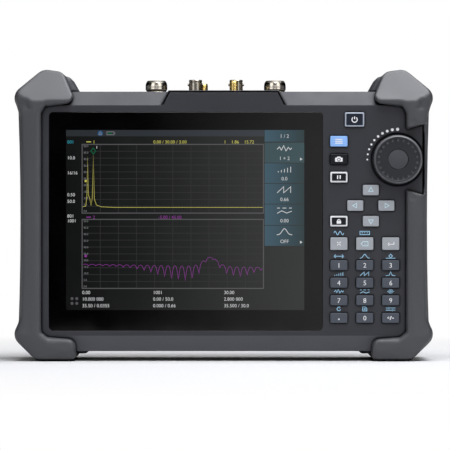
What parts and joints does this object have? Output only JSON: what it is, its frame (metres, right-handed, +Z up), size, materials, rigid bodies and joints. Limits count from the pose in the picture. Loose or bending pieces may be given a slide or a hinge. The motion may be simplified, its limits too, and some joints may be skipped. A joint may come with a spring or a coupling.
{
  "type": "handheld spectrum analyzer",
  "caption": "Handheld spectrum analyzer with a glass display, keypad and push dial, RF jacks on top, soft corner bumpers, a hinged port cover and a fold-out stand.",
  "frame": {"origin": "centre of the footprint, on the surface that it stands on", "axes": "+X to the right seen from the front, +Z up, the front faces -Y"},
  "size_m": [0.302, 0.082, 0.2105],
  "materials": {
    "panel_plastic": "fine matte texture",
    "case_plastic": "fine matte texture",
    "bumper_rubber": "soft matte",
    "display_glass": "polished, black border",
    "screen": "lit screen",
    "seal_rubber": "matte",
    "cast_frame": "as cast",
    "circuit_board": "solder mask",
    "plated_metal": "plated",
    "white_plastic": "moulded",
    "knob_plastic": "satin",
    "cap_plastic": "satin",
    "nickel": "nickel plated",
    "gold": "gold plated",
    "black_plastic": "moulded",
    "light_key": "satin",
    "black_key": "satin",
    "menu_key": "satin, blue",
    "dark_key": "satin"
  },
  "bodies": {
    "case": {"front_shell": "panel_plastic", "rear_shell": "case_plastic", "left_bumper": "bumper_rubber", "right_bumper": "bumper_rubber", "display_glass": "display_glass", "display_gasket": "seal_rubber", "lcd_module": "screen", "mid_frame": "cast_frame", "key_mat": "seal_rubber", "key_board": "circuit_board", "encoder": "plated_metal", "encoder_nut": "plated_metal", "main_board": "circuit_board", "rf_module": "cast_frame", "n_jack_left": "nickel", "n_jack_right": "nickel", "bnc_jack_left": "nickel", "bnc_jack_right": "nickel", "sma_jack_left": "gold", "sma_jack_right": "gold", "lan_jack": "plated_metal", "usb_jack": "plated_metal", "dc_jack": "black_plastic", "port_cover_pin": "plated_metal", "battery_pack": "black_plastic", "battery_door": "case_plastic", "battery_door_screws": "plated_metal", "kickstand_pins": "plated_metal", "case_screws": "plated_metal"},
    "key_power": {"key_power": "black_key"},
    "key_menu": {"key_menu": "menu_key"},
    "key_camera": {"key_camera": "black_key"},
    "key_hold": {"key_hold": "black_key"},
    "key_lock": {"key_lock": "black_key"},
    "key_up": {"key_up": "light_key"},
    "key_down": {"key_down": "light_key"},
    "key_left": {"key_left": "light_key"},
    "key_right": {"key_right": "light_key"},
    "key_esc": {"key_esc": "light_key"},
    "key_back": {"key_back": "light_key"},
    "key_enter": {"key_enter": "light_key"},
    "key_1": {"key_1": "dark_key"},
    "key_2": {"key_2": "dark_key"},
    "key_3": {"key_3": "dark_key"},
    "key_4": {"key_4": "dark_key"},
    "key_5": {"key_5": "dark_key"},
    "key_6": {"key_6": "dark_key"},
    "key_7": {"key_7": "dark_key"},
    "key_8": {"key_8": "dark_key"},
    "key_9": {"key_9": "dark_key"},
    "key_dot": {"key_dot": "dark_key"},
    "key_0": {"key_0": "dark_key"},
    "key_sign": {"key_sign": "dark_key"},
    "dial_plunger": {"encoder_plunger": "white_plastic"},
    "dial": {"encoder_shaft": "plated_metal", "knob": "knob_plastic", "knob_cap": "cap_plastic"},
    "stand": {"kickstand": "case_plastic"},
    "port_cover": {"port_cover": "bumper_rubber"}
  },
  "joints": [
    {"name": "key_power_press", "type": "slide", "parent": "case", "child": "key_power", "axis": [0, 1, 0], "range_m": [0, 0.0008], "stiffness_N_per_m": 900, "springref_m": -0.0006},
    {"name": "key_menu_press", "type": "slide", "parent": "case", "child": "key_menu", "axis": [0, 1, 0], "range_m": [0, 0.0008], "stiffness_N_per_m": 900, "springref_m": -0.0006},
    {"name": "key_camera_press", "type": "slide", "parent": "case", "child": "key_camera", "axis": [0, 1, 0], "range_m": [0, 0.0008], "stiffness_N_per_m": 900, "springref_m": -0.0006},
    {"name": "key_hold_press", "type": "slide", "parent": "case", "child": "key_hold", "axis": [0, 1, 0], "range_m": [0, 0.0008], "stiffness_N_per_m": 900, "springref_m": -0.0006},
    {"name": "key_lock_press", "type": "slide", "parent": "case", "child": "key_lock", "axis": [0, 1, 0], "range_m": [0, 0.0008], "stiffness_N_per_m": 900, "springref_m": -0.0006},
    {"name": "key_up_press", "type": "slide", "parent": "case", "child": "key_up", "axis": [0, 1, 0], "range_m": [0, 0.0008], "stiffness_N_per_m": 900, "springref_m": -0.0006},
    {"name": "key_down_press", "type": "slide", "parent": "case", "child": "key_down", "axis": [0, 1, 0], "range_m": [0, 0.0008], "stiffness_N_per_m": 900, "springref_m": -0.0006},
    {"name": "key_left_press", "type": "slide", "parent": "case", "child": "key_left", "axis": [0, 1, 0], "range_m": [0, 0.0008], "stiffness_N_per_m": 900, "springref_m": -0.0006},
    {"name": "key_right_press", "type": "slide", "parent": "case", "child": "key_right", "axis": [0, 1, 0], "range_m": [0, 0.0008], "stiffness_N_per_m": 900, "springref_m": -0.0006},
    {"name": "key_esc_press", "type": "slide", "parent": "case", "child": "key_esc", "axis": [0, 1, 0], "range_m": [0, 0.0008], "stiffness_N_per_m": 900, "springref_m": -0.0006},
    {"name": "key_back_press", "type": "slide", "parent": "case", "child": "key_back", "axis": [0, 1, 0], "range_m": [0, 0.0008], "stiffness_N_per_m": 900, "springref_m": -0.0006},
    {"name": "key_enter_press", "type": "slide", "parent": "case", "child": "key_enter", "axis": [0, 1, 0], "range_m": [0, 0.0008], "stiffness_N_per_m": 900, "springref_m": -0.0006},
    {"name": "key_1_press", "type": "slide", "parent": "case", "child": "key_1", "axis": [0, 1, 0], "range_m": [0, 0.0008], "stiffness_N_per_m": 900, "springref_m": -0.0006},
    {"name": "key_2_press", "type": "slide", "parent": "case", "child": "key_2", "axis": [0, 1, 0], "range_m": [0, 0.0008], "stiffness_N_per_m": 900, "springref_m": -0.0006},
    {"name": "key_3_press", "type": "slide", "parent": "case", "child": "key_3", "axis": [0, 1, 0], "range_m": [0, 0.0008], "stiffness_N_per_m": 900, "springref_m": -0.0006},
    {"name": "key_4_press", "type": "slide", "parent": "case", "child": "key_4", "axis": [0, 1, 0], "range_m": [0, 0.0008], "stiffness_N_per_m": 900, "springref_m": -0.0006},
    {"name": "key_5_press", "type": "slide", "parent": "case", "child": "key_5", "axis": [0, 1, 0], "range_m": [0, 0.0008], "stiffness_N_per_m": 900, "springref_m": -0.0006},
    {"name": "key_6_press", "type": "slide", "parent": "case", "child": "key_6", "axis": [0, 1, 0], "range_m": [0, 0.0008], "stiffness_N_per_m": 900, "springref_m": -0.0006},
    {"name": "key_7_press", "type": "slide", "parent": "case", "child": "key_7", "axis": [0, 1, 0], "range_m": [0, 0.0008], "stiffness_N_per_m": 900, "springref_m": -0.0006},
    {"name": "key_8_press", "type": "slide", "parent": "case", "child": "key_8", "axis": [0, 1, 0], "range_m": [0, 0.0008], "stiffness_N_per_m": 900, "springref_m": -0.0006},
    {"name": "key_9_press", "type": "slide", "parent": "case", "child": "key_9", "axis": [0, 1, 0], "range_m": [0, 0.0008], "stiffness_N_per_m": 900, "springref_m": -0.0006},
    {"name": "key_dot_press", "type": "slide", "parent": "case", "child": "key_dot", "axis": [0, 1, 0], "range_m": [0, 0.0008], "stiffness_N_per_m": 900, "springref_m": -0.0006},
    {"name": "key_0_press", "type": "slide", "parent": "case", "child": "key_0", "axis": [0, 1, 0], "range_m": [0, 0.0008], "stiffness_N_per_m": 900, "springref_m": -0.0006},
    {"name": "key_sign_press", "type": "slide", "parent": "case", "child": "key_sign", "axis": [0, 1, 0], "range_m": [0, 0.0008], "stiffness_N_per_m": 900, "springref_m": -0.0006},
    {"name": "dial_press", "type": "slide", "parent": "case", "child": "dial_plunger", "axis": [0, 1, 0], "range_m": [0, 0.0005], "stiffness_N_per_m": 2500, "springref_m": -0.0008},
    {"name": "dial_turn", "type": "hinge", "parent": "dial_plunger", "child": "dial", "pos_m": [0.1252, -0.033, 0.1452], "axis": [0, -1, 0], "continuous": true},
    {"name": "stand_fold", "type": "hinge", "parent": "case", "child": "stand", "pos_m": [0, 0.034, 0.1241], "axis": [1, 0, 0], "range_deg": [0, 65]},
    {"name": "port_cover_swing", "type": "hinge", "parent": "case", "child": "port_cover", "pos_m": [-0.14555, 0.01495, 0.062], "axis": [0, 0, -1], "range_deg": [0, 95]}
  ]
}
